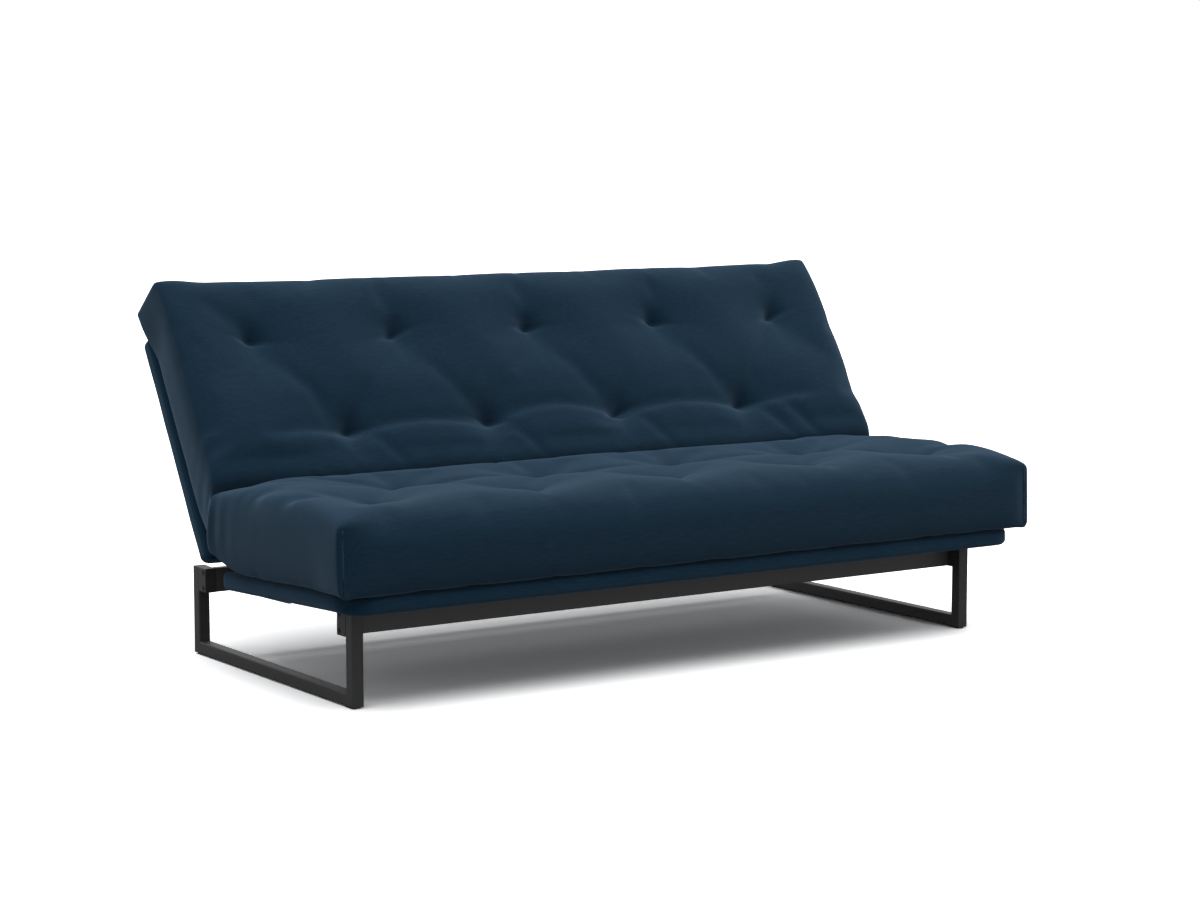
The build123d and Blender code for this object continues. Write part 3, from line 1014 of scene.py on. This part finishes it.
    def wrinkle(self, spot: Spot) -> float:
        """Swing of the upright wrinkles in the end boxing beside the fold.

        Args:
            spot: Point of the block.

        Returns:
            Swing in metres, outwards where it is above zero.
        """
        way = spot.cut.to_fold
        swing = self.wrinkle_depth * math.cos(math.tau * way / self.wrinkle_pitch)
        return swing * bell(way, self.wrinkle_reach) * math.sin(math.pi * spot.h)

    @staticmethod
    def edge_shift(distance: float, radius: float, reach: float, on_top: bool) -> Point2:
        """Shift of a point of a sharp block where the cover runs round an edge.

        Args:
            distance: Distance of the point from the sharp edge.
            radius: Radius of the rounding.
            reach: Distance over which the spare cloth is evened out.
            on_top: Whether the point is on the flat face rather than on the side.

        Returns:
            How far the point goes in from the side and down from the flat face.
        """
        quarter = math.pi * radius / 4
        if distance >= quarter:
            spare = (radius - quarter) * max(0.0, 1 - (distance - quarter) / reach)
            return (spare, 0.0) if on_top else (0.0, spare)
        turn = distance / quarter
        angle = math.radians(45 * (1 + turn) if on_top else 45 * (1 - turn))
        inward, down = radius * (1 - math.cos(angle)), radius * (1 - math.sin(angle))
        return (inward - distance, down) if on_top else (inward, down - distance)

    def rounding(self, spot: Spot) -> Point3:
        """Shift of a point where the cover runs round the open edges and the ends.

        Args:
            spot: Point of the block.

        Returns:
            How far the point goes in from the open edge, in from the end and away from the flat face.
        """
        edge, at_front, at_end = spot.edge, spot.at_front, spot.at_end
        boxing_reach = self.boxing_spare * spot.height
        round_s = spot.form.edge_round if spot.high else self.low_round
        round_s += (self.corner_round - round_s) * ease(spot.near_end)
        in_s, down_s = self.edge_shift(edge if at_front else spot.cut.run, round_s,
                                       boxing_reach if at_front else self.spare_reach, not at_front)
        round_x = self.end_round + (self.corner_round - self.end_round) * spot.near_edge
        in_x, down_x = self.edge_shift(edge if at_end else spot.side, round_x,
                                       boxing_reach if at_end else self.spare_reach, not at_end)
        fade = max(0.0, 1 - edge / (math.pi * round_s / 4))
        if at_end and not at_front:
            in_s, down_s = in_s * fade, down_s * fade
        if at_front and not at_end:
            in_x, down_x = in_x * fade, down_x * fade
        if at_front and at_end:
            down_x = 0.0
        return in_s, in_x, down_s + down_x

    def sag(self, spot: Spot) -> float:
        """How far the lower edge hangs over the deck at a point.

        Args:
            spot: Point of the block.

        Returns:
            Sag in metres, least where the corner seams hold the cover up.
        """
        sag = self.end_sag * (1 - spot.h) * max(0.0, 1 - spot.side / self.sag_reach) ** 2
        if spot.s >= 0:
            return sag
        front = max(0.0, 1 - spot.cut.run / self.sag_reach) ** 2
        return (sag + self.front_sag * (1 - spot.h)) * front * (1 - bell(spot.side, self.corner_lift))

    def on_seam(self, a: float) -> bool:
        """Whether a place along the mattress is on the line of an upright corner seam."""
        return abs(abs(a) - self.seam_line) < 1e-4

    def tuck(self, spot: Spot) -> float:
        """Depth of the groove of the upright seam, beside which the corner strip turns back.

        Args:
            spot: Point of the boxing at an open edge.

        Returns:
            Depth in metres.
        """
        if self.on_seam(spot.a):
            return self.seam_tuck * ease(spot.h / self.seam_fade) * ease((1 - spot.h) / self.seam_fade)
        return 0.5 * self.seam_tuck if outermost(spot.a) else 0.0

    def place(self, spot: Spot) -> Vector:
        """Place a point of the block on the folded mattress.

        Args:
            spot: Point of the block.

        Returns:
            The point in the row frame, before it is swollen.
        """
        cut, form, away = spot.cut, spot.form, abs(spot.s)
        in_s, in_x, down = self.rounding(spot)
        if spot.at_front:
            in_s += self.tuck(spot)
        rise = spot.h * spot.height - self.sag(spot) - (down if spot.high else -down)
        flat = cut.low + cut.up * rise - cut.out * in_s
        waist = form.waist * (1 - spot.h) * ease((self.waist_from - away) / self.waist_over)
        waist *= ease(away / self.waist_over)
        bulge = form.bulge * (1 - spot.near_edge if spot.half is Half.BACK else 1.0)
        in_x += spot.near_end * (waist - bulge - self.wrinkle(spot))
        x = math.copysign(1.0, spot.a) * (self.half_length * abs(spot.a) - in_x)
        point = Vector((x, flat.x, flat.y))
        if outermost(spot.h):
            point -= Vector((0.0, cut.up.x, cut.up.y)) * self.dent(spot.half, cut.top(point.x))
        return point

    def hold(self, spot: Spot) -> float:
        """How firmly a point is held while the filling swells.

        Args:
            spot: Point of the block.

        Returns:
            0 where the cover is free, 1 where it is sewn or lies on a deck.
        """
        s, at_front = spot.s, outermost(spot.s)
        if outermost(spot.h):
            top = spot.cut.top(self.half_length * spot.a)
            sewn = min((top - tuft).length for tuft in self.tufts) < self.tufting.hold
            if sewn or abs(s) < self.crease_share:
                return 1.0
            return self.roll_hold if 0 < s < self.roll_share else 0.0
        if at_front and (outermost(spot.a) or self.on_seam(spot.a)):
            return 1.0
        if outermost(1 - spot.h):
            if abs(s) <= self.roll_share:
                return self.nook_hold
            if spot.side > self.rest_inset[0] and spot.cut.run > self.rest_inset[1]:
                return 1.0
        return self.boxing_hold if at_front or outermost(spot.a) else 0.0

    def shape(self, bm: bmesh.types.BMesh) -> dict[int, float]:
        """Bend a gridded block into the folded mattress.

        Args:
            bm: Block from -1 to 1.

        Returns:
            How firmly each vertex is held while the filling swells.
        """
        held: dict[int, float] = {}
        bm.verts.ensure_lookup_table()
        for vertex in bm.verts:
            spot = self.spot(vertex.co.x, vertex.co.y, (vertex.co.z + 1) / 2)
            if outermost(spot.s) and self.on_seam(spot.a):
                corner = (math.copysign(1.0, spot.a), math.copysign(1.0, spot.s))
                self.corners.setdefault(corner, []).append((spot.h, vertex.index))
            elif spot.at_front != spot.at_end:
                self.boxing.append(vertex.index)
            vertex.co = self.place(spot)
            grip = self.hold(spot)
            if grip > 0:
                held[vertex.index] = grip
        return held

    def calm(self, obj: bpy.types.Object, held: dict[int, float]) -> None:
        """Even out the ripples of the swollen cover, most of all on the boxing round its sides.

        Args:
            obj: Swollen mattress.
            held: How firmly each vertex was held.
        """
        bm = bmesh.new()
        bm.from_mesh(obj.data)
        bm.verts.ensure_lookup_table()
        free = [v for v in bm.verts if held.get(v.index, 0.0) < self.calm_below]
        boxing = [bm.verts[index] for index in self.boxing]
        for verts, rounds in ((free, self.calm_rounds), (boxing, self.boxing_rounds)):
            for _ in range(rounds):
                bmesh.ops.smooth_vert(bm, verts=verts, factor=self.calm_factor, use_axis_x=True,
                                      use_axis_y=True, use_axis_z=True)
        bm.to_mesh(obj.data)
        bm.free()

    def gather(self, obj: bpy.types.Object) -> None:
        """Draw the cover into each tuft, square to its deck.

        Args:
            obj: Swollen mattress.
        """
        place = self.fold.place
        inwards = [Vector((0.0, *place(half, 0, -1))) - Vector((0.0, *place(half, 0, 0))) for half in Half]
        for number, tuft in enumerate(self.tufts):
            self.pinch.apply(obj, tuft, inwards[2 * number // len(self.tufts)], number)

    def seams(self, obj: bpy.types.Object) -> None:
        """Sew the upright seams at the four box corners of the cover.

        Args:
            obj: Finished mattress, whose corner vertices give the way.
        """
        for (side, end), column in self.corners.items():
            way = [obj.data.vertices[index].co.copy() for _, index in sorted(column)]
            name = f"{'front' if end < 0 else 'top'}_{'left' if side < 0 else 'right'}_corner_seam"
            seam = cord_along(name, way[1:-1], self.seam_radius)
            self.palette.dress(seam, Finish.DECK_FABRIC)
            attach(seam, Half.at(end).body)
            log.info("%s", name)

    def build(self) -> bpy.types.Object:
        """Make the mattress.

        Returns:
            The finished mattress.
        """
        bm = gridded_block(self.cells)
        held = self.shape(bm)
        obj = to_object("folding_mattress", bm)
        self.swelling.apply(obj, held)
        self.calm(obj, held)
        round_off(obj)
        self.gather(obj)
        self.seams(obj)
        self.palette.dress(obj, Finish.MATTRESS_FABRIC)
        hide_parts("seat_mattress", "back_mattress", "seat_spring_core", "back_spring_core")
        ray = Vector((0.0, *self.valley))
        arm = ray - Vector((0.0, self.fold.hinge.y, self.fold.hinge.z))
        across = Vector((0.0, arm.z, -arm.y)).normalized() * self.crease_band
        ray - across
        ray + across
        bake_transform(obj)
        log.info("%s: %d faces", obj.name, len(obj.data.polygons))
        return obj


@dataclass
class DeckPad:
    """Upholstered shell of one deck: soft rolled edges, open below where the dust cloth closes it."""

    half: Half
    fold: Fold
    palette: Palette
    half_length: float = 984 * MM
    span: Point2 = (43 * MM, 645 * MM)
    rise: Point2 = (-24 * MM, 18 * MM)
    corners: Point2 = (20 * MM, 20 * MM)
    front_drop: float = 0.0
    drop_from: float = 600 * MM
    drop_over: float = 60 * MM
    roll: float = 12 * MM
    turn_in: float = 62 * MM
    cloth: float = 3 * MM
    cells: tuple[int, int] = (70, 24)
    long_edge: float = 0.2
    uneven_depth: float = 1.5 * MM
    uneven_grid: float = 9.0
    flat_normal: float = 0.9
    filling: float = 0.9

    def block(self) -> bmesh.types.BMesh:
        """Make the rolled block with its window, in deck coordinates.

        Returns:
            Shell whose X, Y and Z are the length, the distance from the hinge and the height.
        """
        bm = bmesh.new()
        (near, far), (low, high) = self.span, self.rise
        size = Matrix.Diagonal((2 * self.half_length, far - near, high - low, 1.0))
        middle = Matrix.Translation((0.0, (near + far) / 2, (low + high) / 2))
        bmesh.ops.create_cube(bm, size=1.0, matrix=middle @ size)
        for place, radius in zip(self.span, self.corners):
            upright = [edge for edge in bm.edges if reach_of(edge, 2) > TOUCH
                       and all(abs(vertex.co.y - place) < TOUCH for vertex in edge.verts)]
            bmesh.ops.bevel(bm, geom=upright, offset=radius, segments=8, profile=0.5, affect="EDGES",
                            material=-1)
        rims = [edge for edge in bm.edges if reach_of(edge, 2) < TOUCH]
        bmesh.ops.bevel(bm, geom=rims, offset=self.roll, segments=5, profile=0.5, affect="EDGES",
                        material=-1)
        under = min(bm.faces, key=lambda face: face.calc_center_median().z)
        bmesh.ops.inset_individual(bm, faces=[under], thickness=self.turn_in - self.roll)
        bmesh.ops.delete(bm, geom=[under], context="FACES_ONLY")
        for axis, count in enumerate(self.cells):
            lines = [edge for edge in bm.edges if reach_of(edge, axis) > self.long_edge]
            bmesh.ops.subdivide_edges(bm, edges=lines, cuts=count, use_grid_fill=True)
        return bm

    def build(self) -> bpy.types.Object:
        """Puff the shell a little and set it on its deck.

        Returns:
            The finished pad.
        """
        bm = self.block()
        bm.normal_update()
        for vertex in bm.verts:
            uneven = noise.noise(vertex.co * self.uneven_grid) * self.uneven_depth
            if abs(vertex.normal.z) < self.flat_normal:
                vertex.co += vertex.normal * uneven
        bmesh.ops.solidify(bm, geom=bm.faces[:], thickness=self.cloth)
        for vertex in bm.verts:
            drop = self.front_drop * ease((vertex.co.y - self.drop_from) / self.drop_over)
            y, z = self.fold.place(self.half, vertex.co.y, vertex.co.z - drop)
            vertex.co = Vector((vertex.co.x, y, z))
        bmesh.ops.recalc_face_normals(bm, faces=bm.faces[:])
        body = self.half.body
        pad = to_object(f"{body}_deck_pad", bm)
        self.palette.dress(pad, Finish.DECK_FABRIC)
        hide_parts(f"{body}_deck_cover")
        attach(pad, body)
        log.info("%s", pad.name)
        return pad


@dataclass
class RigidPieces:
    """Pieces that keep their own solids and get a finish each."""

    palette: Palette
    finishes: dict[Finish, tuple[str, ...]] = field(default_factory=lambda: {
        Finish.POWDER_COAT: ("left_leg_frame", "right_leg_frame"),
        # The rails get the powder coat painted a shade lighter, as painted light against the shade of the
        # decks.
        Finish.RAIL_COAT: ("front_rail", "rear_rail"),
        Finish.MECHANISM_STEEL: (
            "left_pivot_bracket", "right_pivot_bracket", "left_swing_arm", "right_swing_arm", "sync_tube",
            "left_back_hinge_arm", "right_back_hinge_arm", "left_seat_hinge_arm", "right_seat_hinge_arm",
            "back_deck_frame", "seat_deck_frame"),
        Finish.BLACK_FASTENER: ("rail_bolts", "bracket_screws", "back_arm_screws", "seat_arm_screws"),
        Finish.ZINC_STEEL: ("base_pivot_pins", "hinge_pins", "lug_pivot_pins"),
        Finish.DUST_CLOTH: ("seat_dust_cover", "back_dust_cover"),
        Finish.SLAT_WOOD: ("seat_slats", "back_slats"),
        Finish.GLIDE_PLASTIC: ("floor_glides", "rail_end_plugs", "seat_slat_holders", "back_slat_holders"),
        Finish.BLACK_NYLON: ("front_rest_pads", "rear_rest_pads", "swing_arm_bushes", "hinge_washers",
                             "seat_runner_strips", "back_runner_strips"),
    })

    def dress(self, nodes: dict[str, bpy.types.Object]) -> None:
        """Give each rigid piece its finish.

        Args:
            nodes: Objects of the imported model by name.
        """
        for finish, names in self.finishes.items():
            for name in names:
                self.palette.dress(nodes[name], finish)
                log.info("%s: %s", name, finish.slot)


@dataclass
class Studio:
    """Pale floor, soft light and the camera."""

    eye: Point3 = (-3.8023, -5.6709, 1.2838)
    yaw: float = 33.994
    pitch: float = -6.795
    lens: float = 81.83
    sensor: float = 36.0
    floor_half: float = 30.0
    floor_drop: float = 0.5 * MM
    sky_strength: float = 0.33
    sun_lean: Point2 = (9.0, 3.0)
    sun_height: float = 5.0
    sun_spread: float = 68.0
    sun_strength: float = 2.25
    bank_place: Point3 = (2.6, -0.4, 2.5)
    bank_aim: Point3 = (0.4, 0.0, 0.4)
    bank_size: float = 2.0
    bank_power: float = 6.0

    def floor(self) -> None:
        """Lay a pale floor that keeps the shadow and meets the background without a line."""
        bm = bmesh.new()
        bmesh.ops.create_grid(bm, x_segments=1, y_segments=1, size=self.floor_half)
        floor = to_object("studio_floor", bm, smooth=False)
        floor.location.z = -self.floor_drop
        material, tree, shader = new_material("matt_white_studio_floor")
        tree.nodes.remove(shader)
        path = add_node(tree, "ShaderNodeLightPath")
        paint = add_node(tree, "ShaderNodeBsdfDiffuse", {"Color": linear("#8c8c8c")})
        pale = add_node(tree, "ShaderNodeBsdfDiffuse", {"Color": linear("#ffffff")})
        # The camera sees the floor overexposed, so that only the deep part of the shadow stays.
        bright = add_node(tree, "ShaderNodeAddShader", None, {0: pale.outputs[0], 1: pale.outputs[0]})
        seen = add_node(tree, "ShaderNodeMixShader", None, {
            0: path.outputs["Is Camera Ray"], 1: paint.outputs[0], 2: bright.outputs[0]})
        tree.links.new(seen.outputs[0], tree.nodes["Material Output"].inputs["Surface"])
        floor.data.materials.append(material)

    def sky(self) -> None:
        """Fill the room with soft light and show it white to the camera."""
        world = bpy.data.worlds.new("studio")
        bpy.context.scene.world = world
        world.use_nodes = True
        tree = world.node_tree
        tree.nodes.clear()
        path = add_node(tree, "ShaderNodeLightPath")
        soft = add_node(tree, "ShaderNodeBackground", {
            "Color": linear("#f4f6f8"), "Strength": self.sky_strength})
        white = add_node(tree, "ShaderNodeBackground", {"Color": linear("#ffffff"), "Strength": 1.0})
        # Glossy rays see the white room too, so that satin black and zinc reflect it.
        shown = add_node(tree, "ShaderNodeMath", None, {
            0: path.outputs["Is Camera Ray"], 1: path.outputs["Is Glossy Ray"]}, operation="MAXIMUM")
        seen = add_node(tree, "ShaderNodeMixShader", None, {
            0: shown.outputs[0], 1: soft.outputs[0], 2: white.outputs[0]})
        add_node(tree, "ShaderNodeOutputWorld", None, {"Surface": seen.outputs[0]})

    @staticmethod
    def lamp(name: str, kind: str, strength: float) -> bpy.types.Object:
        """Hang a lamp.

        Args:
            name: Name of the lamp.
            kind: Blender's kind of light.
            strength: Its strength, or its power in watts.

        Returns:
            The lamp, at the origin.
        """
        data = bpy.data.lights.new(name, kind)
        data.energy = strength
        lamp = bpy.data.objects.new(name, data)
        bpy.context.scene.collection.objects.link(lamp)
        return lamp

    def sun(self) -> None:
        """Shine a broad soft light from above, a little from the front and the left."""
        sun = self.lamp("overhead_bank", "SUN", self.sun_strength)
        sun.data.angle = math.radians(self.sun_spread)
        front, left = (math.radians(lean) for lean in self.sun_lean)
        sun.location.z = self.sun_height
        sun.rotation_euler = (front, -left, 0.0)

    def side_bank(self) -> None:
        """Hang a softbox that lifts the right side."""
        bank = self.lamp("side_bank", "AREA", self.bank_power)
        bank.data.size = self.bank_size
        bank.location = self.bank_place
        course = Vector(self.bank_aim) - Vector(self.bank_place)
        bank.rotation_euler = course.to_track_quat("-Z", "Y").to_euler()

    def camera(self) -> None:
        """Set the camera where the photograph was taken."""
        data = bpy.data.cameras.new("camera")
        data.sensor_fit = "HORIZONTAL"
        data.sensor_width = self.sensor
        data.lens = self.lens
        data.clip_end = 200.0
        camera = bpy.data.objects.new("camera", data)
        camera.location = self.eye
        camera.rotation_euler = (math.radians(90 + self.pitch), 0.0, -math.radians(self.yaw))
        bpy.context.scene.collection.objects.link(camera)
        bpy.context.scene.camera = camera

    def build(self) -> None:
        """Set up floor, light and camera."""
        self.floor()
        self.sky()
        self.sun()
        self.side_bank()
        self.camera()
        bpy.context.scene.view_settings.view_transform = "Standard"


def main() -> None:
    """Load the model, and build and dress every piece."""
    logging.basicConfig(level=logging.INFO, format="%(message)s")
    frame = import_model()
    palette = Palette()
    joint = next(j for j in frame["joints"] if j["name"] == "seat_hinge")
    fold = Fold(Vector(joint["pos_m"]))
    RigidPieces(palette).dress(frame["nodes"])
    DeckPad(Half.SEAT, fold, palette, 978 * MM, (50 * MM, 680 * MM), corners=(24 * MM, 68 * MM),
            front_drop=6 * MM).build()
    DeckPad(Half.BACK, fold, palette).build()
    Mattress(fold, palette).build()
    Studio().build()


if __name__ == "__main__":
    main()
